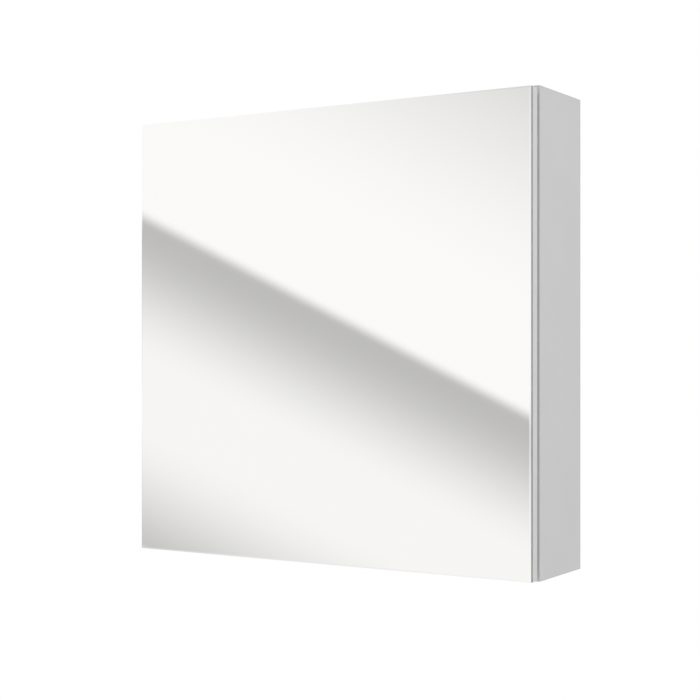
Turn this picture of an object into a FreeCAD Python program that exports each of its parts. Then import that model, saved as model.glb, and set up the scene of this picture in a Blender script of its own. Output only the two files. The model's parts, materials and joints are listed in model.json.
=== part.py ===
import FreeCAD, Part
import math
import os

# Bathroom mirror cabinet with one mirrored door on two concealed hinges, in millimetres.
# X runs to the right, Y into the wall and Z up. The wall is the plane Y = 0.
# The origin lies on the wall, midway between the two keyhole entries.

# Carcass
cabinet_width = 600.0
cabinet_height = 600.0
carcass_depth = 126.0
board_thickness = 16.0
edge_band = 0.8
back_thickness = 3.0
groove_depth = 7.0
groove_play = 0.2
groove_end_play = 0.5

# Rails behind the back panel
rail_thickness = 16.0
hanging_rail_height = 80.0
lower_rail_height = 60.0

# Keyhole plates, sunk flush into the hanging rail
hang_inset = 40.0
hang_drop = 60.0
keyhole_entry_radius = 5.5
keyhole_slot_radius = 2.7
keyhole_travel = 14.0
plate_sheet = 2.0
plate_width = 36.0
plate_above_entry = 26.0
plate_below_entry = 16.0
plate_corner = 4.0
plate_play = 0.1
head_pocket_radius = 8.0
head_pocket_depth = 10.0
plate_screw_spacing = 26.0
plate_screw_rise = 8.0
plate_screw_radius = 1.75
plate_screw_head = 3.4

# Glass shelves on angled supports whose pegs sit in drilled holes
shelf_glass = 5.0
shelf_depth = 88.0
shelf_side_gap = 2.0
shelf_back_gap = 4.0
shelf_corner = 5.0
shelf_arris = 0.5
shelf_heights = (189.0, 379.0)
support_row_front = 37.0
support_row_back = 28.0
peg_hole_radius = 2.5
peg_hole_depth = 10.0
peg_play = 0.05
peg_length = 9.0
peg_below_ledge = 6.0
support_sheet = 1.6
support_width = 10.0
support_drop = 11.0
support_reach = 11.0
pad_thickness = 0.8
pad_margin = 1.0

# Door
side_reveal = 1.0
top_reveal = 3.5
bottom_reveal = 1.5
door_gap = 3.0
door_board = 14.0
door_band = 2.0
band_round = 1.2
tape_thickness = 1.0
tape_width = 20.0
tape_inset = 8.0
mirror_thickness = 5.0
facet_width = 2.0
facet_drop = 1.0
bumper_radius = 4.0
bumper_round = 1.2
bumper_clearance = 0.3
bumper_inset = 60.0

# Hinge cup, sunk into the door board
hinge_inset = 100.0
cup_edge_distance = 3.0
cup_diameter = 35.0
cup_depth = 12.6
cup_floor = 0.8
cup_wall = 0.8
cup_hole_play = 0.05
cup_hole_end_play = 0.2
flange_sheet = 1.0
flange_lip = 1.2
ear_radius = 6.0
cup_screw_spacing = 45.0
cup_screw_offset = 9.5
cup_screw_radius = 1.75

# Hinge linkage in plan: u from the door's hinged edge, v from the door's rear face into the cabinet
outer_cup_pivot_inset = 6.4
outer_cup_pivot_depth = 3.1
inner_cup_pivot_inset = 9.7
inner_cup_pivot_height = 4.7
outer_arm_pivot_inset = 8.0
outer_arm_pivot_rise = 13.2
inner_arm_pivot_inset = 6.8
inner_arm_pivot_height = 4.8
opening_angle = 92.0
outer_link_ratio = 0.27
inner_link_ratio = 0.22
trace_steps = 46
pivot_radius = 1.25
pivot_play = 0.05
pivot_seat = 2.0
lane_play = 0.2
inner_link_half = 3.0
arm_sheet = 1.8
link_sheet = 1.8
link_half_width = 1.3
inner_link_half_width = 2.0
eye_wall = 1.15
spacer_bar_radius = 1.3
link_heel_reach = 2.5
link_heel_drop = 4.2
link_knee_reach = 11.6
link_knee_rise = 4.1
link_dip_reach = 7.9
link_dip_rise = 0.3
link_toe_reach = 5.1
link_toe_drop = 0.6

# Hinge arm and mounting plate, on the side panel
arm_nose_half_width = 1.6
arm_web = 2.0
arm_front = 14.0
arm_length = 48.0
arm_front_slope = 6.0
arm_rear_slope = 9.0
mount_setback = 37.0
mount_base = 2.0
mount_rib = 8.5
mount_rib_play = 0.2
mount_half_width = 7.0
mount_front_reach = 22.0
mount_rear_reach = 24.0
mount_wing_half = 7.0
mount_screw_spacing = 32.0
mount_screw_radius = 3.1
arm_screw_radius = 2.0
adjusting_screw_setback = 14.0
fixing_screw_setback = 14.0

# Worked-out places
left = -cabinet_width / 2
right = cabinet_width / 2
inner_left = left + board_thickness
inner_right = right - board_thickness
top = hang_drop
bottom = top - cabinet_height
inner_top = top - board_thickness
inner_bottom = bottom + board_thickness
front = -carcass_depth
back_front_face = -rail_thickness - back_thickness
door_rear = front - door_gap
door_front_of_board = door_rear - door_board
tape_front = door_front_of_board - tape_thickness
mirror_front = tape_front - mirror_thickness
door_left = left + side_reveal
door_right = right - side_reveal
door_top = top - top_reveal
door_bottom = bottom + bottom_reveal
hinge_heights = {"upper": top - hinge_inset, "lower": bottom + hinge_inset}

# Layers across each hinge, counted from its middle
arm_inner = inner_link_half + lane_play
arm_outer = arm_inner + arm_sheet
link_inner = arm_outer + lane_play
link_outer = link_inner + link_sheet
pocket_half = link_outer + lane_play
seat_outer = pocket_half + pivot_seat
eye_radius = pivot_radius + eye_wall

# Cup and pivots in plan
cup_radius = cup_diameter / 2
cup_centre = cup_edge_distance + cup_radius
pocket_floor = cup_floor - cup_depth
pocket_reach = math.sqrt((cup_radius - cup_wall) ** 2 - pocket_half ** 2)
cup_far_edge = cup_edge_distance + cup_diameter
outer_cup_pivot = (cup_edge_distance + outer_cup_pivot_inset, -outer_cup_pivot_depth)
inner_cup_pivot = (cup_edge_distance + inner_cup_pivot_inset, pocket_floor + inner_cup_pivot_height)
outer_arm_pivot = (cup_far_edge - outer_arm_pivot_inset, outer_arm_pivot_rise)
inner_arm_pivot = (cup_far_edge - inner_arm_pivot_inset, pocket_floor + inner_arm_pivot_height)
panel_face = inner_left - door_left
mount_top = panel_face + mount_base
rib_top = mount_top + mount_rib
mount_centre = door_gap + mount_setback


def vec(x, y, z):
    return FreeCAD.Vector(x, y, z)


def block(x0, x1, y0, y1, z0, z1):
    return Part.makeBox(x1 - x0, y1 - y0, z1 - z0, vec(x0, y0, z0))


def rod(radius, start, direction, length):
    return Part.makeCylinder(radius, length, start, direction)


def along_y(radius, y0, y1, x, z):
    return rod(radius, vec(x, y0, z), vec(0, 1, 0), y1 - y0)


def joined(solids):
    return solids[0].multiFuse(solids[1:]).removeSplitter()


def save(name, solids):
    shape = solids[0] if len(solids) == 1 else Part.makeCompound(solids)
    shape.exportStep("parts/" + name + ".step")


def spun(profile, start, direction):
    """Solid of revolution from (distance along the axis, radius) pairs."""
    points = [vec(r, 0, d) for d, r in profile]
    points = [vec(0, 0, profile[0][0])] + points + [vec(0, 0, profile[-1][0])]
    face = Part.Face(Part.makePolygon(points + [points[0]]))
    solid = face.revolve(vec(0, 0, 0), vec(0, 0, 1), 360)
    solid.Placement = FreeCAD.Placement(start, FreeCAD.Rotation(vec(0, 0, 1), direction))
    return solid


def round_bar(start, end, radius, rise):
    """Straight bar with round ends, raised square to its outline."""
    way = (end - start).normalize()
    side = rise.cross(way).normalize() * radius
    tip = way * radius
    outline = [Part.LineSegment(start + side, end + side), Part.Arc(end + side, end + tip, end - side),
               Part.LineSegment(end - side, start - side), Part.Arc(start - side, start - tip, start + side)]
    return Part.Face(Part.Wire([curve.toShape() for curve in outline])).extrude(rise)


def upright_slot(radius, x, z0, z1, y0, y1):
    """Bar with round ends whose end centres stand one above the other, cut or raised along Y."""
    return round_bar(vec(x, y0, z0), vec(x, y0, z1), radius, vec(0, y1 - y0, 0))


def rounded_plate(x0, x1, y0, y1, z0, z1, radius):
    """Upright plate with its four corner edges along Y rounded."""
    plate = block(x0, x1, y0, y1, z0, z1)
    corners = [e for e in plate.Edges if abs(e.Vertexes[0].Y - e.Vertexes[-1].Y) > (y1 - y0) / 2]
    return plate.makeFillet(radius, corners)


# Carcass

def drilled(panel, holes):
    return panel.cut(Part.makeCompound(holes))


def back_groove():
    """Room for the back panel and its play, cut into the boards round it."""
    return block(inner_left - groove_depth, inner_right + groove_depth,
                 back_front_face - groove_play, -rail_thickness,
                 inner_bottom - groove_depth, inner_top + groove_depth)


def support_rows():
    return (front + support_row_front, back_front_face - support_row_back)


def peg_height(shelf_height):
    return inner_bottom + shelf_height - pad_thickness - peg_below_ledge


def peg_holes(side):
    face = side * inner_right
    holes = []
    for height in shelf_heights:
        for y in support_rows():
            start = vec(face, y, peg_height(height))
            holes.append(rod(peg_hole_radius, start, vec(side, 0, 0), peg_hole_depth))
    return holes


def hinge_plan(u, v, z):
    return vec(door_left + u, door_rear + v, z)


def mount_screw_heights(z):
    return (z - mount_screw_spacing / 2, z + mount_screw_spacing / 2)


def side_panel(side):
    outer = side * right
    inner = side * inner_right
    board = block(min(outer, inner), max(outer, inner), front + edge_band, 0,
                  bottom + edge_band, top - edge_band)
    return drilled(board, [back_groove()] + peg_holes(side))


def cross_panel(z0, z1):
    board = block(inner_left, inner_right, front + edge_band, 0, z0, z1)
    return drilled(board, [back_groove()])


def rail(z0, z1):
    return block(inner_left, inner_right, -rail_thickness, 0, z0, z1)


def back_panel():
    reach = groove_depth - groove_end_play
    return block(inner_left - reach, inner_right + reach, back_front_face, -rail_thickness,
                 inner_bottom - reach, inner_top + reach)


def carcass_bands():
    """Front strips of all four boards, and the ends of the side panels."""
    strips = []
    for x0, x1 in ((left, inner_left), (inner_right, right)):
        strips.append(block(x0, x1, front, front + edge_band, bottom, top))
        strips.append(block(x0, x1, front + edge_band, 0, top - edge_band, top))
        strips.append(block(x0, x1, front + edge_band, 0, bottom, bottom + edge_band))
    for z0, z1 in ((bottom, inner_bottom), (inner_top, top)):
        strips.append(block(inner_left, inner_right, front, front + edge_band, z0, z1))
    return strips


# Keyhole plates

def hang_places():
    return (left + hang_inset, right - hang_inset)


def plate_screw_places(x):
    return (x - plate_screw_spacing / 2, x + plate_screw_spacing / 2)


def keyhole_plate(x):
    plate = rounded_plate(x - plate_width / 2, x + plate_width / 2, -plate_sheet, 0,
                          -plate_below_entry, plate_above_entry, plate_corner)
    entry = along_y(keyhole_entry_radius, -plate_sheet, 0, x, 0)
    slot = upright_slot(keyhole_slot_radius, x, 0, keyhole_travel, -plate_sheet, 0)
    sinks = [countersink(screw_x, plate_screw_rise) for screw_x in plate_screw_places(x)]
    return plate.cut(Part.makeCompound([entry, slot] + sinks))


def countersink(x, z):
    """Screw hole through the plate, widened towards its rear face for a flat head."""
    cone = plate_screw_head - plate_screw_radius
    profile = [(0, plate_screw_head), (cone, plate_screw_radius), (plate_sheet, plate_screw_radius)]
    return spun(profile, vec(x, 0, z), vec(0, -1, 0))


def hang_pockets():
    pockets = []
    for x in hang_places():
        pockets.append(rounded_plate(x - plate_width / 2 - plate_play, x + plate_width / 2 + plate_play,
                                     -plate_sheet, 0, -plate_below_entry - plate_play,
                                     plate_above_entry + plate_play, plate_corner + plate_play))
        deep = -plate_sheet - head_pocket_depth
        pockets.append(upright_slot(head_pocket_radius, x, 0, keyhole_travel, deep, -plate_sheet))
    return pockets


# Shelves

def glass_shelf(height):
    low = inner_bottom + height
    y1 = back_front_face - shelf_back_gap
    y0 = y1 - shelf_depth
    x0 = inner_left + shelf_side_gap
    x1 = inner_right - shelf_side_gap
    sheet = block(x0, x1, y0, y1, low, low + shelf_glass)
    upright = [e for e in sheet.Edges if abs(e.Vertexes[0].Z - e.Vertexes[-1].Z) > shelf_glass / 2]
    front_corners = [e for e in upright if e.CenterOfMass.y < (y0 + y1) / 2]
    sheet = sheet.makeFillet(shelf_corner, front_corners)
    rims = [e for e in sheet.Edges if abs(e.BoundBox.ZMax - e.BoundBox.ZMin) < shelf_arris]
    return sheet.makeChamfer(shelf_arris, rims)


def shelf_support(side, y, z):
    """Angle whose ledge carries the shelf and whose peg sits in the side panel."""
    face = side * inner_right
    ledge = z + peg_below_ledge
    outline = [(0, ledge), (support_reach, ledge), (support_reach, ledge - support_sheet),
               (support_sheet, ledge - support_sheet), (support_sheet, ledge - support_drop),
               (0, ledge - support_drop)]
    points = [vec(face - side * reach, y - support_width / 2, height) for reach, height in outline]
    angle = Part.Face(Part.makePolygon(points + [points[0]])).extrude(vec(0, support_width, 0))
    return angle.fuse(rod(peg_hole_radius - peg_play, vec(face, y, z), vec(side, 0, 0), peg_length))


def support_pad(side, y, z):
    """Soft pad between the ledge and the glass."""
    near = side * (inner_right - support_sheet)
    far = side * (inner_right - support_reach + pad_margin)
    low = z + peg_below_ledge
    half = support_width / 2 - pad_margin
    return block(min(near, far), max(near, far), y - half, y + half, low, low + pad_thickness)


def at_each_support(make):
    solids = []
    for height in shelf_heights:
        for side in (-1, 1):
            for y in support_rows():
                solids.append(make(side, y, peg_height(height)))
    return solids


# Door

def mirror():
    """Glass plate whose front edges carry a narrow polished facet."""
    def frame(inset, y):
        corners = [(door_left + inset, door_bottom + inset), (door_right - inset, door_bottom + inset),
                   (door_right - inset, door_top - inset), (door_left + inset, door_top - inset)]
        points = [vec(x, y, z) for x, z in corners]
        return Part.makePolygon(points + [points[0]])
    shoulder = mirror_front + facet_drop
    bevel = Part.makeLoft([frame(facet_width, mirror_front), frame(0, shoulder)], True, True)
    plate = block(door_left, door_right, shoulder, tape_front, door_bottom, door_top)
    return plate.fuse(bevel).removeSplitter()


def tape():
    """Four foam strips just inside the mirror's edges."""
    x0 = door_left + tape_inset
    x1 = door_right - tape_inset
    z0 = door_bottom + tape_inset
    z1 = door_top - tape_inset
    spans = [(x0, x0 + tape_width, z0, z1), (x1 - tape_width, x1, z0, z1),
             (x0 + tape_width, x1 - tape_width, z0, z0 + tape_width),
             (x0 + tape_width, x1 - tape_width, z1 - tape_width, z1)]
    return [block(a, b, tape_front, door_front_of_board, c, d) for a, b, c, d in spans]


def door_panel():
    board = block(door_left + door_band, door_right - door_band, door_front_of_board, door_rear,
                  door_bottom + door_band, door_top - door_band)
    holes = []
    for z in hinge_heights.values():
        deep = door_rear - cup_depth - cup_hole_end_play
        holes.append(along_y(cup_radius + cup_hole_play, deep, door_rear, door_left + cup_centre, z))
    return drilled(board, holes)


def band_strip(x0, x1, z0, z1, outward):
    """Edge band whose two outer arrises are rounded."""
    strip = block(x0, x1, door_front_of_board, door_rear, z0, z1)
    longest = max(edge.Length for edge in strip.Edges)
    lengthwise = [edge for edge in strip.Edges if edge.Length > longest / 2]
    arrises = sorted(lengthwise, key=lambda edge: edge.CenterOfMass.dot(outward))[-2:]
    return strip.makeFillet(band_round, arrises)


def door_bands():
    """Strips up both sides of the board, and between them along its top and bottom."""
    x0 = door_left + door_band
    x1 = door_right - door_band
    return [band_strip(door_left, x0, door_bottom, door_top, vec(-1, 0, 0)),
            band_strip(x1, door_right, door_bottom, door_top, vec(1, 0, 0)),
            band_strip(x0, x1, door_bottom, door_bottom + door_band, vec(0, 0, -1)),
            band_strip(x0, x1, door_top - door_band, door_top, vec(0, 0, 1))]


def bumpers():
    """Soft buttons on the door's rear face, opposite the free side panel's front edge."""
    height = door_gap - bumper_clearance
    shoulder = height - bumper_round
    profile = [(0, bumper_radius), (shoulder, bumper_radius), (height, bumper_radius - bumper_round)]
    x = right - board_thickness / 2
    places = (door_top - bumper_inset, door_bottom + bumper_inset)
    return [spun(profile, vec(x, door_rear, z), vec(0, 1, 0)) for z in places]


# Hinges

def disc(point, radius, low, high):
    return rod(radius, hinge_plan(point[0], point[1], low), vec(0, 0, 1), high - low)


def strap(points, half_width, low, high):
    """Flat bar of even width along a bent line in plan, with round ends."""
    spine = Part.makePolygon([hinge_plan(u, v, low) for u, v in points])
    return Part.Face(spine.makeOffset2D(half_width)).extrude(vec(0, 0, high - low))


def swing(point, pivot, degrees):
    """Point turned about a pivot in plan, counted as the door opens (clockwise from above)."""
    c = math.cos(math.radians(degrees))
    s = math.sin(math.radians(degrees))
    du = point[0] - pivot[0]
    dv = point[1] - pivot[1]
    return pivot[0] + du * c + dv * s, pivot[1] - du * s + dv * c


def open_pivot_room():
    """Box that the inner cup pin sweeps in the inner link's own frame as the door opens."""
    trace = []
    for step in range(trace_steps + 1):
        angle = opening_angle * step / trace_steps
        carried = swing(outer_cup_pivot, outer_arm_pivot, -outer_link_ratio * angle)
        turned = swing(inner_cup_pivot, outer_cup_pivot, angle)
        pin = (turned[0] + carried[0] - outer_cup_pivot[0], turned[1] + carried[1] - outer_cup_pivot[1])
        trace.append(swing(pin, inner_arm_pivot, inner_link_ratio * angle))
    low = (min(u for u, v in trace), min(v for u, v in trace))
    high = (max(u for u, v in trace), max(v for u, v in trace))
    return low, high


def outer_link_line():
    """Goose-neck from the arm's pivot, round the cup's rim and over the inner pin, to the cup's pivot."""
    cup_u, cup_v = outer_cup_pivot
    arm_u, arm_v = outer_arm_pivot
    heel = (arm_u - link_heel_reach, arm_v - link_heel_drop)
    knee = (cup_u + link_knee_reach, cup_v + link_knee_rise)
    dip = (cup_u + link_dip_reach, cup_v + link_dip_rise)
    toe = (cup_u + link_toe_reach, cup_v - link_toe_drop)
    return [outer_arm_pivot, heel, knee, dip, toe, outer_cup_pivot]


def outer_link(z):
    """Two bent cheeks outside the arm, held together by a spacer bar."""
    line = outer_link_line()
    solids = []
    for low, high in ((z - link_outer, z - link_inner), (z + link_inner, z + link_outer)):
        solids.append(strap(line, link_half_width, low, high))
        solids.append(disc(line[0], eye_radius, low, high))
        solids.append(disc(line[-1], eye_radius, low, high))
    knee, dip = line[2:4]
    bar = ((knee[0] + dip[0]) / 2, (knee[1] + dip[1]) / 2)
    solids.append(disc(bar, spacer_bar_radius, z - link_outer, z + link_outer))
    bore = pivot_radius + pivot_play
    bores = [disc(end, bore, z - link_outer, z + link_outer) for end in (line[0], line[-1])]
    return joined(solids).cut(Part.makeCompound(bores))


def inner_link(z):
    """Straight lever along the cup's floor, with a slot for the inner cup pin."""
    low, high = open_pivot_room()
    reach = pivot_radius + pivot_play
    z0 = z - inner_link_half
    z1 = z + inner_link_half
    slot = [(low[0] - reach, low[1] - reach), (high[0] + reach, high[1] + reach)]
    eye = [(slot[0][0] - eye_wall, slot[0][1] - eye_wall), (slot[1][0] + eye_wall, slot[1][1] + eye_wall)]
    slot_middle = ((slot[0][0] + slot[1][0]) / 2, (slot[0][1] + slot[1][1]) / 2)
    start = hinge_plan(inner_arm_pivot[0], inner_arm_pivot[1], z0)
    end = hinge_plan(slot_middle[0], slot_middle[1], z0)
    body = joined([round_bar(start, end, inner_link_half_width, vec(0, 0, z1 - z0)),
                   disc(inner_arm_pivot, eye_radius, z0, z1), plan_slab(eye, reach, z0, z1)])
    holes = [disc(inner_arm_pivot, reach, z0, z1), plan_slab(slot, pivot_radius, z0, z1)]
    return body.cut(Part.makeCompound(holes))


def plan_slab(corners, radius, low, high):
    """Rectangle in plan with round corners, raised to a slab."""
    (u0, v0), (u1, v1) = corners
    start = hinge_plan(u0, v0, low)
    slab = Part.makeBox(u1 - u0, v1 - v0, high - low, start)
    upright = [e for e in slab.Edges if abs(e.Vertexes[0].Z - e.Vertexes[-1].Z) > (high - low) / 2]
    return slab.makeFillet(radius, upright)


def plan_prism(points, low, high):
    """Straight-sided outline in plan, raised to a prism."""
    corners = [hinge_plan(u, v, low) for u, v in points]
    return Part.Face(Part.makePolygon(corners + [corners[0]])).extrude(vec(0, 0, high - low))


def hinge_arm(z):
    """Channel over the mounting plate's rib, with a nose into the cup and riveted pivot pins."""
    web_top = rib_top + arm_web
    back_v = arm_front + arm_length
    cheek = [(web_top, arm_front), (web_top, back_v), (rib_top, back_v),
             (mount_top, back_v - arm_rear_slope), (mount_top, arm_front + arm_front_slope),
             (rib_top, arm_front)]
    nose = [(rib_top, arm_front + arm_web + eye_radius), outer_arm_pivot, inner_arm_pivot]
    solids = []
    for low, high in ((z - arm_outer, z - arm_inner), (z + arm_inner, z + arm_outer)):
        solids.append(plan_prism(cheek, low, high))
        solids.append(strap(nose, arm_nose_half_width, low, high))
        solids.append(disc(outer_arm_pivot, eye_radius, low, high))
        solids.append(disc(inner_arm_pivot, eye_radius, low, high))
    web = [(rib_top, arm_front), (web_top, arm_front), (web_top, back_v), (rib_top, back_v)]
    solids.append(plan_prism(web, z - arm_outer, z + arm_outer))
    solids.append(disc(outer_arm_pivot, pivot_radius, z - link_outer, z + link_outer))
    solids.append(disc(inner_arm_pivot, pivot_radius, z - arm_outer, z + arm_outer))
    cuts = []
    for v in arm_screw_places():
        cuts.append(rod(arm_screw_radius, hinge_plan(rib_top, v, z), vec(1, 0, 0), arm_web))
    return joined(solids).cut(Part.makeCompound(cuts))


def arm_screw_places():
    return (mount_centre - adjusting_screw_setback, mount_centre + fixing_screw_setback)


def mounting_plate(z):
    """Cross-shaped plate with a rib that the arm's channel straddles."""
    v0 = mount_centre - mount_front_reach
    v1 = mount_centre + mount_rear_reach
    base = [(panel_face, v0), (mount_top, v0), (mount_top, v1), (panel_face, v1)]
    body = plan_prism(base, z - mount_half_width, z + mount_half_width)
    low, high = [hinge_plan(panel_face, mount_centre, screw_z) for screw_z in mount_screw_heights(z)]
    wings = round_bar(low, high, mount_wing_half, vec(mount_base, 0, 0))
    rib_half = arm_inner - mount_rib_play
    ridge = [(mount_top, v0), (rib_top, v0), (rib_top, v1), (mount_top, v1)]
    rib = plan_prism(ridge, z - rib_half, z + rib_half)
    cuts = [rod(mount_screw_radius, start, vec(1, 0, 0), mount_base) for start in (low, high)]
    return joined([body, wings, rib]).cut(Part.makeCompound(cuts))


def cup_screw_heights(z):
    return (z - cup_screw_spacing / 2, z + cup_screw_spacing / 2)


def hinge_cup(z):
    """Round cup with a pocket for the links, two flange wings with screw ears, and riveted pivot pins."""
    x = door_left + cup_centre
    ear_x = x + cup_screw_offset
    wing_top = door_rear + flange_sheet
    cup = along_y(cup_radius, door_rear - cup_depth, wing_top, x, z)
    lip = along_y(cup_radius + flange_lip, door_rear, wing_top, x, z)
    low_ear, high_ear = cup_screw_heights(z)
    ears = upright_slot(ear_radius, ear_x, low_ear, high_ear, door_rear, wing_top)
    flange = lip.fuse(ears).removeSplitter()
    far = cup_centre + cup_radius + cup_screw_offset + ear_radius
    window = block(door_left, door_left + far, door_rear, wing_top, z - pocket_half, z + pocket_half)
    pocket = block(x - pocket_reach, x + pocket_reach, door_rear + pocket_floor, wing_top,
                   z - pocket_half, z + pocket_half)
    cuts = [window, pocket]
    for screw_z in (low_ear, high_ear):
        cuts.append(along_y(cup_screw_radius, door_rear, wing_top, ear_x, screw_z))
    body = cup.fuse(flange).removeSplitter().cut(Part.makeCompound(cuts))
    return joined([body] + cup_pins(z))


def cup_pins(z):
    """Outer pivot stubs on both sides of the pocket, and the inner pin across it."""
    return [disc(outer_cup_pivot, pivot_radius, z - seat_outer, z - link_inner),
            disc(outer_cup_pivot, pivot_radius, z + link_inner, z + seat_outer),
            disc(inner_cup_pivot, pivot_radius, z - seat_outer, z + seat_outer)]


os.makedirs("parts", exist_ok=True)

save("left_side_panel", [side_panel(-1)])
save("right_side_panel", [side_panel(1)])
save("top_panel", [cross_panel(inner_top, top)])
save("bottom_panel", [cross_panel(bottom, inner_bottom)])
save("carcass_edge_bands", carcass_bands())
save("back_panel", [back_panel()])
save("hanging_rail", [drilled(rail(inner_top - hanging_rail_height, inner_top), hang_pockets())])
save("lower_rail", [rail(inner_bottom, inner_bottom + lower_rail_height)])
save("hanging_plates", [keyhole_plate(x) for x in hang_places()])
save("lower_glass_shelf", [glass_shelf(shelf_heights[0])])
save("upper_glass_shelf", [glass_shelf(shelf_heights[1])])
save("shelf_supports", at_each_support(shelf_support))
save("shelf_support_pads", at_each_support(support_pad))
save("mirror_glass", [mirror()])
save("mirror_tape", tape())
save("door_board", [door_panel()])
save("door_edge_bands", door_bands())
save("door_bumpers", bumpers())
for name, height in hinge_heights.items():
    save(name + "_hinge_cup", [hinge_cup(height)])
    save(name + "_outer_link", [outer_link(height)])
    save(name + "_inner_link", [inner_link(height)])
    save(name + "_hinge_arm", [hinge_arm(height)])
    save(name + "_mounting_plate", [mounting_plate(height)])
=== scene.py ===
"""Looks of the bathroom mirror cabinet: materials, screws, shelf pads, studio and camera.

Sizes are in metres, colours are linear, and turns are in radians where no name says degrees.
"""
import json
import math
from collections import namedtuple
from itertools import product

import bmesh
import bpy
from mathutils import Matrix, Vector


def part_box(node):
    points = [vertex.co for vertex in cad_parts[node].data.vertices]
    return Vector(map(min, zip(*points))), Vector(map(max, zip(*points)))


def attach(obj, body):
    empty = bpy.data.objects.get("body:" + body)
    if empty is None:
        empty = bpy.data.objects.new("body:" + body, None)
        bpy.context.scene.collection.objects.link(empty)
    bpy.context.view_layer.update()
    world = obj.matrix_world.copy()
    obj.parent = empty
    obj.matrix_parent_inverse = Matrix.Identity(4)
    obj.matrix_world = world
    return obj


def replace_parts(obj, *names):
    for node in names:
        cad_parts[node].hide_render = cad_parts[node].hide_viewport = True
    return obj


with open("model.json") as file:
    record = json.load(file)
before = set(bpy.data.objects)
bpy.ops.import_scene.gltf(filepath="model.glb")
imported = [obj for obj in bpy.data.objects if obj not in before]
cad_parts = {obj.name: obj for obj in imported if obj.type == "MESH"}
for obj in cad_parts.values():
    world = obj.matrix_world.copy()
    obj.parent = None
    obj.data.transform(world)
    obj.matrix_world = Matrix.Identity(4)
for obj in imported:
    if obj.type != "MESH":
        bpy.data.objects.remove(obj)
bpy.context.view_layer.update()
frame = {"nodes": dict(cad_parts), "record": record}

Metal = namedtuple("Metal", "colour rough grain")
Chips = namedtuple("Chips", "size pale")
PanScrew = namedtuple("PanScrew", "radius height recess depth spin")

# Camera: level, looking to the left and into the wall
FOCAL_PIXELS = 1480.5
IMAGE_PIXELS = 700
SENSOR_WIDTH = 36.0
CAMERA_PLACE = Vector((1.0415, -1.7694, -0.2600))
CAMERA_YAW = math.radians(31.579)

# Nodes that come in twos, and the ways that screw heads face
HINGES = ("upper", "lower")
HINGE_PARTS = ("hinge_cup", "outer_link", "inner_link", "hinge_arm", "mounting_plate")
SHELVES = ("lower_glass_shelf", "upper_glass_shelf")
INTO_WALL = Vector((0, 1, 0))
TO_RIGHT = Vector((1, 0, 0))

# Sizes on the object that the boxes of its nodes don't give
FACET_DROP = 0.001
CUP_EAR_OFFSET = 0.0095
CUP_EAR_SPACING = 0.045
PLATE_SHEET = 0.002
PLATE_REAR_REACH = 0.024
PLATE_SCREW_SPACING = 0.032
ARM_WEB = 0.002
ARM_SCREW_SETBACK = 0.014
HANG_SCREW_SPACING = 0.026
HANG_SCREW_RISE = 0.008
PAD_THICKNESS = 0.0008
PAD_PLAY = 0.00004
PAD_SIZE = Vector((0.0084, 0.0080, PAD_THICKNESS - PAD_PLAY))
PAD_ROUND = 0.0003
PAD_STEPS = 3
ROUND_PROFILE = 0.5
MILLIMETRE = 0.001

# Pan heads as shares of radius and height, and cross recesses as shares of the recess's reach
PAN_PROFILE = ((0.96, 0.0), (1.0, 0.18), (0.98, 0.5), (0.88, 0.8), (0.72, 1.0))
CROSS_HALF_WIDTH = 0.24
CROSS_FLOOR_REACH = 0.72
CROSS_FLOOR_HALF_WIDTH = 0.15
SCREW_SIDES = 32

# Pan-head screws: the spin is given by its start, its step by hinge and its step by side
CUP_SCREW = PanScrew(radius=0.0033, height=0.0016, recess=0.0019, depth=0.0011, spin=(0.5, 1.0, 1.0))
PLATE_SCREW = PanScrew(radius=0.0046, height=0.0022, recess=0.0026, depth=0.0015, spin=(0.3, 2.0, 1.0))
ARM_SCREW = PanScrew(radius=0.0034, height=0.0018, recess=0.0021, depth=0.0012, spin=(0.8, 1.0, 2.0))

# Countersunk screws: (radius, height) rings from the bottom to the top, recess and spin by side
FLAT_RINGS = ((0.0018, -0.0019), (0.0018, -0.00165), (0.0033, -0.00022), (0.0033, -0.0001))
FLAT_RECESS = 0.0019
FLAT_DEPTH = 0.0011
FLAT_SPIN = 0.6

# Coated boards, bands and lacquered back: grey, and lowest and highest roughness
CARCASS_GREY = 0.668
# The carcass band's grey is set below the boards' as painted shade for the gap beside the door
CARCASS_BAND_SHADED_GREY = 0.62
DOOR_GREY = 0.69
DOOR_BAND_GREY = 0.726
BACK_GREY = 0.74
BOARD_ROUGH = (0.36, 0.46)
BAND_ROUGH = (0.30, 0.40)
BACK_ROUGH = (0.42, 0.50)
BOARD_IOR = 1.47
BAND_IOR = 1.5

# Bare fibre on the back's rear, and bare chips on rails and on the rear edges of boards
FIBRE_DARK = (0.275, 0.180, 0.105)
FIBRE_PALE = (0.355, 0.240, 0.148)
FIBRE_CLOUD = (0.345, 0.235, 0.147)
FIBRE_MORE_ROUGH = 0.3
CHIP_TONES = (
    (0.12, (0.33, 0.225, 0.125)), (0.35, (0.48, 0.355, 0.215)),
    (0.62, (0.57, 0.445, 0.285)), (0.90, (0.68, 0.565, 0.395)),
)
CHIP_DUST = (0.54, 0.42, 0.275)
CHIP_ROUGH = (0.72, 0.90)
RAIL_CHIPS = Chips(size=0.0019, pale=1.06)
EDGE_CHIPS = Chips(size=0.0034, pale=0.86)
EDGE_CHIP_ROUGH = 0.85
EDGE_DEPTH = 0.0003
ALONG_LENGTHS = (0.4, 1.0, 1.0)
CROSS_LENGTHS = (1.0, 1.0, 0.45)
CROSS_SIZE = 0.7
CROSS_SHARE = 0.4
RAGGED_SCALE = 2.2
RAGGED_REACH = 1.1

# Butt joints between bare board edges, drawn as a dark strip of joint colour and painted shade of the crack
SEAM_WIDTH = 0.0005
JOINT_AND_SHADE_COLOUR = (0.10, 0.07, 0.045)

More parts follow.
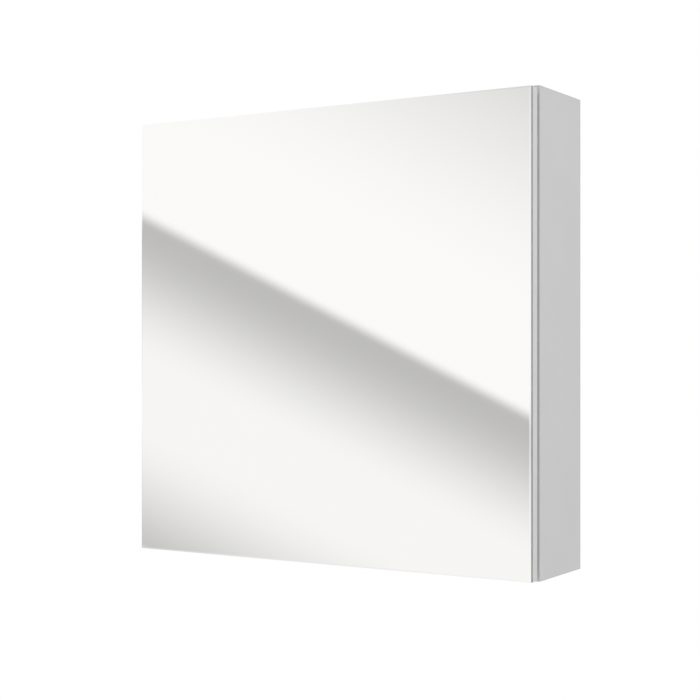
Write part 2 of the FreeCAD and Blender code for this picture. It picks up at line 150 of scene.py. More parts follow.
# Metals: colour, lowest and highest roughness, and the grain's noise scale
ZINC = Metal((0.58, 0.59, 0.61), (0.28, 0.42), 900.0)
NICKEL = Metal((0.72, 0.71, 0.69), (0.14, 0.24), 1500.0)
SCREW_STEEL = Metal((0.68, 0.68, 0.67), (0.20, 0.34), 1300.0)

# Plastic and foam
SOFT_PLASTIC = (0.80, 0.80, 0.79)
SOFT_ROUGH = (0.28, 0.42)
SOFT_IOR = 1.45
FOAM = (0.20, 0.20, 0.205)
FOAM_ROUGH = (0.80, 0.95)

# Glass of the shelves, clear on its faces and ground at its edges
SHELF_TINT = ((0.945, 0.985, 0.970), (0.955, 0.990, 0.975))
GROUND_TINT = ((0.30, 0.50, 0.43), (0.37, 0.57, 0.49))
CLEAR_ROUGH = (0.0, 0.02)
GROUND_ROUGH = 0.25
GROUND_DIMMING = 0.7
GLASS_IOR = 1.5
LEVEL_LIMIT = 0.9

# Mirror: silver in front, clear glass at the edge with painted light at its front and painted shade towards
# its rear, paint behind
SILVER = ((0.957, 0.950, 0.937), (0.961, 0.954, 0.941))
GLASS_EDGE_LIT_TO_SHADED = ((0.470, 0.485, 0.476), (0.110, 0.118, 0.114))
GLASS_EDGE_CLOUD = 0.2
BACKING_PAINT = ((0.300, 0.310, 0.320), (0.350, 0.355, 0.360))
SILVER_HAZE = (0.0, 0.012)
FACET_ROUGH = (0.05, 0.08)
PAINT_ROUGH = 0.4
FACING_LIMIT = 0.5
FLAT_LIMIT = 0.99

# Studio
AMBIENT = 0.58
KEY_STRENGTH = 1.5
KEY_PLACE = Vector((-0.5, -0.5, 3.4))
KEY_TARGET = Vector((0.0, 0.0, 0.0))
KEY_SPREAD = math.radians(50)
FILL_POWER = 3.0
FILL_PLACE = Vector((2.4, -1.4, 0.6))
FILL_TARGET = Vector((0.0, -0.07, -0.24))
FILL_SIZE = 1.8
FLOOR_Z = -1.75
FLOOR_SIZE = 80.0
FLOOR_GREYS = (0.900, 0.915)
FLOOR_ROUGH = 0.8
FLOOR_SHEEN = 0.1
FLOOR_FADE = (0.8, 3.5)
SCREEN_CENTRE = Vector((0.0, -0.1, -0.24))
SCREEN_RADIUS = 2.4
SCREEN_SEGMENTS = 48
WHITE = (1.0, 1.0, 1.0, 1.0)

# Greys of the studio screen that the mirror shows, by distance below a slanting edge in photograph pixels
EDGE_LEFT = Vector((142.0, 217.7))
EDGE_RIGHT = Vector((530.0, 417.7))
NEAR_SHADES = (
    (-570.0, 0.5), (-95.0, 1.0), (-10.0, 1.0), (7.0, 0.53), (145.0, 0.961), (205.0, 0.961), (385.0, 0.45),
)

# Window of these greys in degrees below and right of the line of sight: middle, half width, soft rim
WINDOW_DOWN = (-1.2, 12.6, 0.5)
WINDOW_RIGHT = (1.0, 31.0, 1.5)

# Greys of the rest of the screen, by degrees below the line of sight along the slant
MIDDLE_SHADES = (
    (-36.0, 0.62), (-33.0, 0.745), (-30.0, 0.89), (-24.0, 1.0), (-18.3, 1.0), (-17.1, 0.69), (-13.7, 0.89),
    (-9.0, 1.0), (12.8, 1.0), (13.7, 0.50), (22.3, 0.97), (28.0, 0.54), (32.6, 0.60), (34.6, 0.98),
)
BAND_EDGES = (-112.0, -80.0, -48.5, 42.5, 59.5, 79.0, 100.0)
BAND_STEP = 3.0
BAND_BRIGHT = 1.0
BAND_DARK = 0.62
REAR_GREY = 0.80
HALF_TURN_DEGREES = 180.0

# Range that most of a noise lies in, rays that work out a softened edge, and least turn of a sharp edge
NOISE_LOW = 0.3
NOISE_HIGH = 0.7
BEVEL_SAMPLES = 4
SHARP_ANGLE = math.radians(35)


# Node helpers

def add_node(tree, kind, inputs=None, **settings):
    """New node with its settings and its socket values; a socket as a value is linked."""
    node = tree.nodes.new(kind)
    for key, value in settings.items():
        setattr(node, key, value)
    for key, value in (inputs or {}).items():
        if isinstance(value, bpy.types.NodeSocket):
            tree.links.new(value, node.inputs[key])
        else:
            node.inputs[key].default_value = value
    return node


def new_material(name):
    material = bpy.data.materials.new(name)
    material.use_nodes = True
    tree = material.node_tree
    return material, tree, tree.nodes["Principled BSDF"]


def grey(level):
    return (level, level, level)


def shade(colour, factor):
    return tuple(min(1.0, c * factor) for c in colour)


def place_on_object(tree):
    return add_node(tree, "ShaderNodeTexCoord").outputs["Object"]


def own_place(tree, axis):
    return add_node(tree, "ShaderNodeSeparateXYZ", {"Vector": place_on_object(tree)}).outputs[axis]


def own_normal(tree, axis):
    """One component of the surface's direction in the object's own frame."""
    normal = add_node(tree, "ShaderNodeTexCoord").outputs["Normal"]
    return add_node(tree, "ShaderNodeSeparateXYZ", {"Vector": normal}).outputs[axis]


def math_node(tree, operation, first, second=0.0, third=0.0):
    node = add_node(tree, "ShaderNodeMath", {0: first, 1: second, 2: third}, operation=operation)
    return node.outputs["Value"]


def stretched(tree, vector, lengths):
    return add_node(tree, "ShaderNodeMapping", {"Vector": vector, "Scale": lengths}).outputs["Vector"]


def noise(tree, scale, detail=3.0, vector=None):
    node = add_node(tree, "ShaderNodeTexNoise", {"Scale": scale, "Detail": detail})
    tree.links.new(vector or place_on_object(tree), node.inputs["Vector"])
    return node.outputs["Fac"]


def streaks(tree, scale, lengths):
    """Fine noise drawn out along the axis whose length is small."""
    return noise(tree, scale, detail=2.0, vector=stretched(tree, place_on_object(tree), lengths))


def part_way(tree, value, first, last, curve="LINEAR"):
    """How far a value is from first to last, 0 to 1."""
    node = add_node(tree, "ShaderNodeMapRange", {"Value": value, "From Min": first, "From Max": last},
                    interpolation_type=curve)
    return node.outputs["Result"]


def spread(tree, value, low, high):
    """Noise value, mostly near its middle, taken to a range of numbers."""
    ranges = {"From Min": NOISE_LOW, "From Max": NOISE_HIGH, "To Min": low, "To Max": high}
    return add_node(tree, "ShaderNodeMapRange", {"Value": value, **ranges}).outputs["Result"]


def ramp(tree, value, stops, curve="LINEAR"):
    """Colour ramp from (position, colour) pairs."""
    node = add_node(tree, "ShaderNodeValToRGB", {"Fac": value})
    node.color_ramp.interpolation = curve
    elements = node.color_ramp.elements
    while len(elements) < len(stops):
        elements.new(0.5)
    for element, (position, colour) in zip(elements, stops):
        element.position = position
        element.color = (*colour, 1.0)
    return node.outputs["Color"]


def drift(tree, value, first, second):
    """Colour that a noise takes from one to the other."""
    return ramp(tree, value, [(NOISE_LOW, first), (NOISE_HIGH, second)])


def clouded(tree, value, colour, dark, light):
    """Colour that a noise takes from a darker to a lighter shade of itself."""
    return drift(tree, value, shade(colour, dark), shade(colour, light))


def blend(tree, factor, first, second):
    """Mix of two colours, each a socket or a value; the sockets for colours have the numbers 6, 7 and 2."""
    node = add_node(tree, "ShaderNodeMix", {0: factor}, data_type="RGBA")
    for index, value in ((6, first), (7, second)):
        if isinstance(value, bpy.types.NodeSocket):
            tree.links.new(value, node.inputs[index])
        else:
            node.inputs[index].default_value = (*value, 1.0)
    return node.outputs[2]


def surface(tree, shader, colour, rough):
    tree.links.new(colour, shader.inputs["Base Color"])
    tree.links.new(rough, shader.inputs["Roughness"])


def bump(tree, shader, height, strength, distance, edge_round=0.0):
    """Fine relief from a height, on edges that are softened to the eye where edge_round is given."""
    node = add_node(tree, "ShaderNodeBump", {"Height": height, "Strength": strength, "Distance": distance})
    if edge_round:
        soft = add_node(tree, "ShaderNodeBevel", {"Radius": edge_round}, samples=BEVEL_SAMPLES)
        tree.links.new(soft.outputs["Normal"], node.inputs["Normal"])
    tree.links.new(node.outputs["Normal"], shader.inputs["Normal"])


# Materials

def flake_tones(tree, size, lengths):
    """Random tone of each flake in a layer of ragged flakes, and the distance from the flake's middle."""
    place = place_on_object(tree)
    reach = RAGGED_REACH * size
    ragged = add_node(tree, "ShaderNodeTexNoise",
                      {"Vector": place, "Scale": RAGGED_SCALE / size, "Detail": 3.0})
    shifted = add_node(tree, "ShaderNodeVectorMath",
                       {0: ragged.outputs["Color"], 1: (reach, reach, reach), 2: place},
                       operation="MULTIPLY_ADD")
    drawn = stretched(tree, shifted.outputs["Vector"], lengths)
    flakes = add_node(tree, "ShaderNodeTexVoronoi", {"Vector": drawn, "Scale": 1 / size})
    tone = add_node(tree, "ShaderNodeSeparateColor", {"Color": flakes.outputs["Color"]}).outputs["Red"]
    return tone, flakes.outputs["Distance"]


def chip_colour(tree, chips):
    """Colour of pressed wood chips, and the distance from a chip's middle.

    Ragged flakes lie along and across, with fine dust between them.
    """
    tone, distance = flake_tones(tree, chips.size, ALONG_LENGTHS)
    cross_tone = flake_tones(tree, CROSS_SIZE * chips.size, CROSS_LENGTHS)[0]
    crossed = math_node(tree, "MULTIPLY", cross_tone, CROSS_SHARE)
    mixed = math_node(tree, "MULTIPLY_ADD", tone, 1 - CROSS_SHARE, crossed)
    wood = ramp(tree, mixed, [(position, shade(colour, chips.pale)) for position, colour in CHIP_TONES])
    dusty = spread(tree, noise(tree, scale=1900.0, detail=2.0), low=0.0, high=0.45)
    return blend(tree, dusty, wood, shade(CHIP_DUST, chips.pale)), distance


def seam(tree, name):
    """1 in a fine strip along the ends and long edges of a node, where it butts on its neighbours and the
    dark joint colour with painted shade of the crack goes.
    """
    low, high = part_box(name)
    middle = (low + high) / 2
    half = (high - low) / 2
    masks = []
    for axis, index in (("X", 0), ("Z", 2)):
        away = math_node(tree, "ABSOLUTE", math_node(tree, "SUBTRACT", own_place(tree, axis), middle[index]))
        masks.append(math_node(tree, "GREATER_THAN", away, half[index] - SEAM_WIDTH))
    return math_node(tree, "MAXIMUM", *masks)


def board_coat(tree, colour):
    return clouded(tree, noise(tree, scale=9.0, detail=4.0), colour, dark=0.985, light=1.012)


def board_sheen(tree):
    return spread(tree, noise(tree, scale=55.0), *BOARD_ROUGH)


def finish_board(tree, shader, coat, rough):
    """Links that every coated board ends with: its colour, sheen and faint pores."""
    surface(tree, shader, coat, rough)
    shader.inputs["IOR"].default_value = BOARD_IOR
    pores = noise(tree, scale=1300.0, detail=2.0)
    bump(tree, shader, pores, strength=0.06, distance=0.0002, edge_round=0.0005)


def door_sheet(name, colour):
    """Satin melamine with a faint pore texture."""
    material, tree, shader = new_material(name)
    finish_board(tree, shader, board_coat(tree, colour), board_sheen(tree))
    return material


def carcass_board(node, colour):
    """Satin melamine whose unbanded rear edge, in the wall's plane, shows coarse chips."""
    material, tree, shader = new_material(node + "_melamine")
    chips = chip_colour(tree, EDGE_CHIPS)[0]
    # Dark strip at the butt joints: joint colour with painted shade of the crack
    edge = blend(tree, seam(tree, node), chips, JOINT_AND_SHADE_COLOUR)
    rear = math_node(tree, "GREATER_THAN", own_place(tree, "Y"), -EDGE_DEPTH)
    edge_rough = math_node(tree, "MULTIPLY", rear, EDGE_CHIP_ROUGH)
    rough = math_node(tree, "MAXIMUM", board_sheen(tree), edge_rough)
    finish_board(tree, shader, blend(tree, rear, board_coat(tree, colour), edge), rough)
    return material


def edge_band(name, colour):
    """Plastic strip, a little smoother than the boards, with fine marks of the trimming along it."""
    material, tree, shader = new_material(name)
    tint = clouded(tree, noise(tree, scale=14.0), colour, dark=0.985, light=1.01)
    marks = streaks(tree, scale=900.0, lengths=(1.0, 1.0, 0.06))
    surface(tree, shader, tint, spread(tree, marks, *BAND_ROUGH))
    shader.inputs["IOR"].default_value = BAND_IOR
    bump(tree, shader, marks, strength=0.05, distance=0.0002, edge_round=0.0003)
    return material


def back_sheet(name, colour):
    """Thin fibreboard: lacquered towards the room, bare brown fibre towards the wall."""
    material, tree, shader = new_material(name)
    lacquer = clouded(tree, noise(tree, scale=12.0, detail=4.0), colour, dark=0.98, light=1.01)
    strands = drift(tree, noise(tree, scale=850.0, detail=5.0), FIBRE_DARK, FIBRE_PALE)
    pressed = spread(tree, noise(tree, scale=16.0, detail=4.0), low=0.0, high=0.45)
    fibre = blend(tree, pressed, strands, FIBRE_CLOUD)
    bare = math_node(tree, "GREATER_THAN", own_normal(tree, "Y"), FACING_LIMIT)
    lacquer_rough = spread(tree, noise(tree, scale=60.0), *BACK_ROUGH)
    rough = math_node(tree, "ADD", lacquer_rough, math_node(tree, "MULTIPLY", bare, FIBRE_MORE_ROUGH))
    surface(tree, shader, blend(tree, bare, lacquer, fibre), rough)
    bump(tree, shader, noise(tree, scale=800.0, detail=4.0), strength=0.12, distance=0.0003)
    return material


def bare_chipboard(node):
    """Raw face of a chipboard rail: fine pale chips."""
    material, tree, shader = new_material(node + "_chipboard")
    chips, flake = chip_colour(tree, RAIL_CHIPS)
    rough = spread(tree, noise(tree, scale=300.0), *CHIP_ROUGH)
    # Dark strip at the butt joints: joint colour with painted shade of the crack
    surface(tree, shader, blend(tree, seam(tree, node), chips, JOINT_AND_SHADE_COLOUR), rough)
    bump(tree, shader, flake, strength=0.25, distance=0.0004, edge_round=0.0005)
    return material


def plated_metal(name, metal):
    """Plated steel with soft cloudiness and a fine rolled grain."""
    material, tree, shader = new_material(name)
    tint = clouded(tree, noise(tree, scale=160.0, detail=4.0), metal.colour, dark=0.90, light=1.06)
    lines = streaks(tree, metal.grain, lengths=(1.0, 0.08, 1.0))
    surface(tree, shader, tint, spread(tree, lines, *metal.rough))
    shader.inputs["Metallic"].default_value = 1.0
    bump(tree, shader, lines, strength=0.06, distance=0.0001, edge_round=0.0002)
    return material


def shelf_glass(name):
    """Clear float glass, satin green at its ground edges."""
    material, tree, shader = new_material(name)
    level = math_node(tree, "ABSOLUTE", own_normal(tree, "Z"))
    edge = math_node(tree, "LESS_THAN", level, LEVEL_LIMIT)
    clear = drift(tree, noise(tree, scale=20.0), *SHELF_TINT)
    ground = drift(tree, noise(tree, scale=260.0), *GROUND_TINT)
    satin = math_node(tree, "MULTIPLY", edge, GROUND_ROUGH)
    rough = math_node(tree, "ADD", satin, spread(tree, noise(tree, scale=30.0), *CLEAR_ROUGH))
    surface(tree, shader, blend(tree, edge, clear, ground), rough)
    passing = math_node(tree, "MULTIPLY_ADD", edge, -GROUND_DIMMING, 1.0)
    tree.links.new(passing, shader.inputs["Transmission Weight"])
    shader.inputs["IOR"].default_value = GLASS_IOR
    return material


def soft_plastic(name, colour):
    """Pale soft plastic with a faint sheen."""
    material, tree, shader = new_material(name)
    tint = clouded(tree, noise(tree, scale=400.0), colour, dark=0.95, light=1.02)
    surface(tree, shader, tint, spread(tree, noise(tree, scale=700.0), *SOFT_ROUGH))
    shader.inputs["IOR"].default_value = SOFT_IOR
    return material


def foam(name, colour):
    """Closed-cell foam strip with small round cells."""
    material, tree, shader = new_material(name)
    cells = add_node(tree, "ShaderNodeTexVoronoi", {"Vector": place_on_object(tree), "Scale": 1800.0})
    away = cells.outputs["Distance"]
    tint = ramp(tree, away, [(0.1, shade(colour, 0.7)), (0.7, shade(colour, 1.2))])
    surface(tree, shader, tint, spread(tree, noise(tree, scale=900.0), *FOAM_ROUGH))
    bump(tree, shader, away, strength=0.3, distance=0.0003)
    return material


def mirror(name, node):
    """Silvered glass in front, polished glass round the edge with painted light at its front and painted
    shade towards its rear, and grey backing paint behind.
    """
    material, tree, shader = new_material(name)
    low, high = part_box(node)
    direction = own_normal(tree, "Y")
    silvered = math_node(tree, "LESS_THAN", direction, -FACING_LIMIT)
    painted = math_node(tree, "GREATER_THAN", direction, FACING_LIMIT)
    slanted = math_node(tree, "GREATER_THAN", direction, -FLAT_LIMIT)
    silver = drift(tree, noise(tree, scale=3.0), *SILVER)
    paint = drift(tree, noise(tree, scale=200.0), *BACKING_PAINT)
    # Painted light and shade on the glass edge: lighter at the front, where light comes in through the
    # facet, and darker towards the rear
    painted_edge_shade = part_way(tree, own_place(tree, "Y"), low.y + FACET_DROP, high.y)
    uneven = spread(tree, noise(tree, scale=90.0), low=-0.5, high=0.5)
    cloud_and_painted_shade = math_node(tree, "MULTIPLY_ADD", uneven, GLASS_EDGE_CLOUD, painted_edge_shade)
    glass = ramp(tree, cloud_and_painted_shade, [(0.1, GLASS_EDGE_LIT_TO_SHADED[0]), (0.9, GLASS_EDGE_LIT_TO_SHADED[1])])
    haze = spread(tree, noise(tree, scale=7.0, detail=5.0), *SILVER_HAZE)
    rim = math_node(tree, "MULTIPLY", slanted, spread(tree, noise(tree, scale=600.0), *FACET_ROUGH))
    backing = math_node(tree, "MULTIPLY", painted, PAINT_ROUGH)
    rough = math_node(tree, "ADD", haze, math_node(tree, "ADD", rim, backing))
    surface(tree, shader, blend(tree, painted, blend(tree, silvered, glass, silver), paint), rough)
    tree.links.new(silvered, shader.inputs["Metallic"])
    return material


# Shown pieces

def cover(material, *nodes):
    """The material on every slot of these carried-over nodes."""
    for name in nodes:
        for slot in frame["nodes"][name].material_slots:
            slot.material = material


def add_object(name, data):
    made = bpy.data.objects.new(name, data)
    bpy.context.scene.collection.objects.link(made)
    return made


def add_mesh(name, shape, material):
    """Object from a finished bmesh, which this uses up."""
    mesh = bpy.data.meshes.new(name)
    shape.to_mesh(mesh)
    shape.free()
    mesh.materials.append(material)
    return add_object(name, mesh)


def piece(name, build, material, body):
    """New mesh piece from a builder function, riding on a body."""
    shape = bmesh.new()
    build(shape)
    bmesh.ops.recalc_face_normals(shape, faces=shape.faces)
    made = add_mesh(name, shape, material)
    for polygon in made.data.polygons:
        polygon.use_smooth = True
    made.data.set_sharp_from_angle(angle=SHARP_ANGLE)
    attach(made, body)
    return made


def ring(shape, radius, height):
    turns = [2 * math.pi * k / SCREW_SIDES for k in range(SCREW_SIDES)]
    return [shape.verts.new((radius * math.cos(turn), radius * math.sin(turn), height)) for turn in turns]


def skin(shape, first, second):
    """Faces between two closed loops of as many corners."""
    for k in range(len(first)):
        n = (k + 1) % len(first)
        shape.faces.new((first[k], first[n], second[n], second[k]))


def cross_outline(reach, half_width, height):
    """Corner points of a cross recess, in turn order."""
    quarter = [(reach, -half_width), (reach, half_width), (half_width, half_width)]
    points = []
    for k in range(4):
        c = math.cos(math.pi / 2 * k)
        s = math.sin(math.pi / 2 * k)
        points += [Vector((c * x - s * y, s * x + c * y, height)) for x, y in quarter]
    return points


def screw(shape, place, turn, rings, recess, depth):
    """Screw head from (radius, height) rings, bottom to top, with a cross recess in its flat top."""
    start = len(shape.verts)
    loops = [ring(shape, radius, height) for radius, height in rings]
    shape.faces.new(loops[0])
    for low, high in zip(loops, loops[1:]):
        skin(shape, low, high)
    top = rings[-1][1]
    mouth_points = cross_outline(recess, recess * CROSS_HALF_WIDTH, top)
    floor_points = cross_outline(recess * CROSS_FLOOR_REACH, recess * CROSS_FLOOR_HALF_WIDTH, top - depth)
    mouth = [shape.verts.new(point) for point in mouth_points]
    floor = [shape.verts.new(point) for point in floor_points]
    rim = [shape.edges.get((loops[-1][k], loops[-1][k - 1])) for k in range(SCREW_SIDES)]
    rim += [shape.edges.new((mouth[k], mouth[k - 1])) for k in range(len(mouth))]
    bmesh.ops.triangle_fill(shape, use_beauty=True, edges=rim)
    skin(shape, mouth, floor)
    shape.faces.new(floor)
    shape.verts.ensure_lookup_table()
    made = shape.verts[start:]
    bmesh.ops.transform(shape, matrix=Matrix.Translation(place) @ turn, verts=made)


def facing(direction, spin):
    """Turn that takes +Z to a direction, after a spin about it."""
    return direction.to_track_quat("Z", "Y").to_matrix().to_4x4() @ Matrix.Rotation(spin, 4, "Z")


def hinge_screws(shape, form, direction, place_of):
    """Two pan-head screws at each hinge, each turned to an angle of its own."""
    rings = [(form.radius * r, form.height * h) for r, h in PAN_PROFILE]
    start, by_hinge, by_side = form.spin
    for k, which in enumerate(HINGES):
        for side in (-1, 1):
            turn = facing(direction, start + by_hinge * k + by_side * side)
            screw(shape, place_of(which, side), turn, rings, form.recess, form.depth)


def cup_screw_place(which, side):
    low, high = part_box(which + "_hinge_cup")
    middle = (low + high) / 2
    return Vector((middle.x + CUP_EAR_OFFSET, high.y, middle.z + side * CUP_EAR_SPACING / 2))


def plate_screw_place(which, side):
    low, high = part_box(which + "_mounting_plate")
    z = (low.z + high.z + side * PLATE_SCREW_SPACING) / 2
    return Vector((low.x + PLATE_SHEET, high.y - PLATE_REAR_REACH, z))


def arm_screw_place(which, side):
    low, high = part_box(which + "_mounting_plate")
    y = high.y - PLATE_REAR_REACH + side * ARM_SCREW_SETBACK
    return Vector((high.x + ARM_WEB, y, (low.z + high.z) / 2))


def cup_screws(shape):
    hinge_screws(shape, CUP_SCREW, INTO_WALL, cup_screw_place)


def plate_screws(shape):
    hinge_screws(shape, PLATE_SCREW, TO_RIGHT, plate_screw_place)


def arm_screws(shape):
    hinge_screws(shape, ARM_SCREW, TO_RIGHT, arm_screw_place)


def hang_screws(shape):
    """Countersunk screws beside the entry hole of each hanging plate, in the wall's plane."""
    mounts = {mount["name"]: mount for mount in frame["record"]["mounts"]}
    half_spacing = mounts["wall_screws"]["dims"]["spacing_x_mm"] * MILLIMETRE / 2
    for x in (-half_spacing, half_spacing):
        for side in (-1, 1):
            place = Vector((x + side * HANG_SCREW_SPACING / 2, 0, HANG_SCREW_RISE))
            screw(shape, place, facing(INTO_WALL, x + FLAT_SPIN * side), FLAT_RINGS, FLAT_RECESS, FLAT_DEPTH)


def soft_pads(shape):
    """Cushions with rounded rims between the shelf supports and the glass."""
    low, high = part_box("shelf_support_pads")
    half = PAD_SIZE / 2
    heights = [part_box(shelf)[0].z - PAD_THICKNESS + half.z for shelf in SHELVES]
    columns = (low.x + half.x, high.x - half.x)
    rows = (low.y + half.y, high.y - half.y)
    for z, x, y in product(heights, columns, rows):
        sized = Matrix.Translation((x, y, z)) @ Matrix.Diagonal((*PAD_SIZE, 1.0))
        made = bmesh.ops.create_cube(shape, size=1.0, matrix=sized)
        edges = {edge for vert in made["verts"] for edge in vert.link_edges}
        bmesh.ops.bevel(shape, geom=list(edges), offset=PAD_ROUND, segments=PAD_STEPS,
                        profile=ROUND_PROFILE, affect="EDGES")


def dress_boards():
    for node in ("left_side_panel", "right_side_panel", "top_panel", "bottom_panel"):
        cover(carcass_board(node, grey(CARCASS_GREY)), node)
    for node in ("hanging_rail", "lower_rail"):
        cover(bare_chipboard(node), node)
    cover(door_sheet("door_melamine", grey(DOOR_GREY)), "door_board")
    # The carcass band is darker than the boards as painted shade in the gap beside the door
    cover(edge_band("carcass_band_painted_shade", grey(CARCASS_BAND_SHADED_GREY)), "carcass_edge_bands")
    cover(edge_band("door_band", grey(DOOR_BAND_GREY)), "door_edge_bands")
    cover(back_sheet("back_fibreboard", grey(BACK_GREY)), "back_panel")


def dress_fittings():
    cover(plated_metal("zinc_plate", ZINC), "hanging_plates")
    nickel = plated_metal("hinge_nickel", NICKEL)
    for which, part in product(HINGES, HINGE_PARTS):
        cover(nickel, which + "_" + part)
    cover(nickel, "shelf_supports")
    cover(shelf_glass("shelf_float_glass"), *SHELVES)
    cover(foam("tape_foam", FOAM), "mirror_tape")
    cover(mirror("silvered_mirror", "mirror_glass"), "mirror_glass")
    soft = soft_plastic("pale_soft_plastic", SOFT_PLASTIC)
    cover(soft, "shelf_support_pads", "door_bumpers")
    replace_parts(piece("soft_shelf_pads", soft_pads, soft, "carcass"), "shelf_support_pads")


def add_screws():
    steel = plated_metal("screw_steel", SCREW_STEEL)
    piece("hinge_cup_screws", cup_screws, steel, "door")
    piece("mounting_plate_screws", plate_screws, steel, "carcass")
    piece("hinge_arm_screws", arm_screws, steel, "carcass")
    piece("hanging_plate_screws", hang_screws, steel, "carcass")


# Studio

def seen_rays(tree):
    """1 for rays from the camera, from gloss and through glass; 0 for the rays that light things."""
    path = add_node(tree, "ShaderNodeLightPath")
    seen = math_node(tree, "MAXIMUM", path.outputs["Is Camera Ray"], path.outputs["Is Glossy Ray"])
    return math_node(tree, "MAXIMUM", seen, path.outputs["Is Transmission Ray"])


def mix_shaders(tree, factor, first, second):
    return add_node(tree, "ShaderNodeMixShader", {0: factor, 1: first.outputs[0], 2: second.outputs[0]})


def white_world():
    """White to the eye, and dimmer as a light."""
    world = bpy.data.worlds.new("studio")
    bpy.context.scene.world = world
    world.use_nodes = True
    tree = world.node_tree
    tree.nodes.clear()
    light = add_node(tree, "ShaderNodeBackground", {"Color": WHITE, "Strength": AMBIENT})
    white = add_node(tree, "ShaderNodeBackground", {"Color": WHITE, "Strength": 1.0})
    mix = mix_shaders(tree, seen_rays(tree), light, white)
    output = add_node(tree, "ShaderNodeOutputWorld")
    tree.links.new(mix.outputs[0], output.inputs["Surface"])


def floor_material():
    """Pale floor that keeps shadows near the object and runs out into the white background."""
    material, tree, shader = new_material("studio_floor")
    dark, light = FLOOR_GREYS
    tree.links.new(drift(tree, noise(tree, scale=2.0), grey(dark), grey(light)), shader.inputs["Base Color"])
    shader.inputs["Roughness"].default_value = FLOOR_ROUGH
    shader.inputs["Specular IOR Level"].default_value = FLOOR_SHEEN
    white = add_node(tree, "ShaderNodeEmission", {"Color": WHITE, "Strength": 1.0})
    away = add_node(tree, "ShaderNodeVectorMath", {0: place_on_object(tree)}, operation="LENGTH")
    far = part_way(tree, away.outputs["Value"], *FLOOR_FADE, curve="SMOOTHSTEP")
    mix = mix_shaders(tree, math_node(tree, "MULTIPLY", far, seen_rays(tree)), shader, white)
    tree.links.new(mix.outputs[0], tree.nodes["Material Output"].inputs["Surface"])
    return material


def studio_floor():
    """Large level sheet below the object, which the mirror doesn't show."""
    shape = bmesh.new()
    bmesh.ops.create_grid(shape, x_segments=1, y_segments=1, size=FLOOR_SIZE / 2)
    floor = add_mesh("floor", shape, floor_material())
    floor.location = (0, 0, FLOOR_Z)
    floor.visible_glossy = False


def graded(tree, value, shades, curve):
    """Grey of a value by (value, grey) pairs."""
    first = shades[0][0]
    last = shades[-1][0]
    stops = [((mark - first) / (last - first), grey(level)) for mark, level in shades]
    return ramp(tree, part_way(tree, value, first, last), stops, curve)


def angle(tree, across, ahead):
    """Degrees away from the line ahead."""
    return math_node(tree, "MULTIPLY", math_node(tree, "ARCTAN2", across, ahead), math.degrees(1.0))


def outside(tree, value, middle, half, rim):
    """0 within half of the middle, 1 beyond the soft rim."""
    away = math_node(tree, "ABSOLUTE", math_node(tree, "SUBTRACT", value, middle))
    return part_way(tree, away, half, half + rim, curve="SMOOTHSTEP")


def far_shades():
    """Bands that brighten towards a sharp edge, one after another all about the studio."""
    stops = [(-HALF_TURN_DEGREES, REAR_GREY), *MIDDLE_SHADES, (HALF_TURN_DEGREES, REAR_GREY)]
    for edge in BAND_EDGES:
        stops += [(edge - BAND_STEP, BAND_BRIGHT), (edge, BAND_DARK)]
    return sorted(stops)


def along(tree, vector, axis):
    """How far a vector goes along an axis."""
    node = add_node(tree, "ShaderNodeVectorMath", {0: vector, 1: axis}, operation="DOT_PRODUCT")
    return node.outputs["Value"]


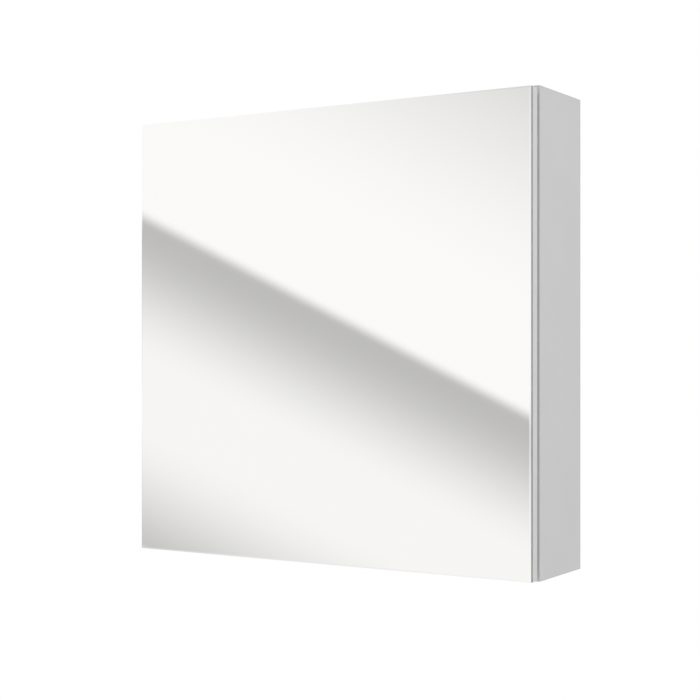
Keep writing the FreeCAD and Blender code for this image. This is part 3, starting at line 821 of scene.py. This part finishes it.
def screen_material():
    """Soft slanting bands of grey, laid out as lines from the mirrored eye point.

    The line of sight is the camera's own, turned back into the studio by the mirror's front.
    """
    material = bpy.data.materials.new("studio_screen")
    material.use_nodes = True
    tree = material.node_tree
    tree.nodes.clear()
    mirror_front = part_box("mirror_glass")[0].y
    eye = Vector((CAMERA_PLACE.x, 2 * mirror_front - CAMERA_PLACE.y, CAMERA_PLACE.z))
    right = Vector((math.cos(CAMERA_YAW), -math.sin(CAMERA_YAW), 0))
    ahead = Vector((-math.sin(CAMERA_YAW), -math.cos(CAMERA_YAW), 0))
    slope = (EDGE_RIGHT.y - EDGE_LEFT.y) / (EDGE_RIGHT.x - EDGE_LEFT.x)
    below_edge = Vector((0, 0, -1)) - right * slope
    ray = add_node(tree, "ShaderNodeVectorMath", {0: place_on_object(tree), 1: eye}, operation="SUBTRACT")
    down, side, depth = [along(tree, ray.outputs["Vector"], axis) for axis in (below_edge, right, ahead)]
    middle = IMAGE_PIXELS / 2
    edge_middle = EDGE_LEFT.y + slope * (middle - EDGE_LEFT.x)
    ratio = math_node(tree, "DIVIDE", down, depth)
    pixels = math_node(tree, "MULTIPLY_ADD", ratio, FOCAL_PIXELS, middle - edge_middle)
    degrees = angle(tree, down, depth)
    beside = outside(tree, angle(tree, side, depth), *WINDOW_RIGHT)
    far = math_node(tree, "MAXIMUM", outside(tree, degrees, *WINDOW_DOWN), beside)
    near_grey = graded(tree, pixels, NEAR_SHADES, "EASE")
    far_grey = graded(tree, degrees, far_shades(), "LINEAR")
    shown = blend(tree, far, near_grey, far_grey)
    light = add_node(tree, "ShaderNodeEmission", {"Color": shown, "Strength": 1.0})
    output = add_node(tree, "ShaderNodeOutputMaterial")
    tree.links.new(light.outputs[0], output.inputs["Surface"])
    return material


def studio_screen():
    """Round screen all about the object, seen by gloss alone."""
    shape = bmesh.new()
    bmesh.ops.create_uvsphere(shape, u_segments=SCREEN_SEGMENTS, v_segments=SCREEN_SEGMENTS // 2,
                              radius=SCREEN_RADIUS, matrix=Matrix.Translation(SCREEN_CENTRE))
    screen = add_mesh("studio_screen", shape, screen_material())
    screen.visible_camera = False
    screen.visible_diffuse = False
    screen.visible_transmission = False
    screen.visible_shadow = False


def lamp(data, energy, place, target):
    """Lamp of these settings at a place, turned towards a target."""
    data.energy = energy
    made = add_object(data.name, data)
    made.location = place
    made.rotation_euler = (target - place).to_track_quat("-Z", "Y").to_euler()


def studio():
    white_world()
    studio_floor()
    studio_screen()
    key = bpy.data.lights.new("key", "SUN")
    key.angle = KEY_SPREAD
    lamp(key, KEY_STRENGTH, KEY_PLACE, KEY_TARGET)
    fill = bpy.data.lights.new("fill", "AREA")
    fill.size = FILL_SIZE
    lamp(fill, FILL_POWER, FILL_PLACE, FILL_TARGET)


def camera():
    data = bpy.data.cameras.new("camera")
    data.sensor_width = SENSOR_WIDTH
    data.lens = FOCAL_PIXELS / IMAGE_PIXELS * SENSOR_WIDTH
    data.dof.use_dof = False
    made = add_object("camera", data)
    made.location = CAMERA_PLACE
    made.rotation_euler = (math.pi / 2, 0, CAMERA_YAW)
    bpy.context.scene.camera = made


bpy.context.scene.view_settings.view_transform = "Standard"
dress_boards()
dress_fittings()
add_screws()
studio()
camera()
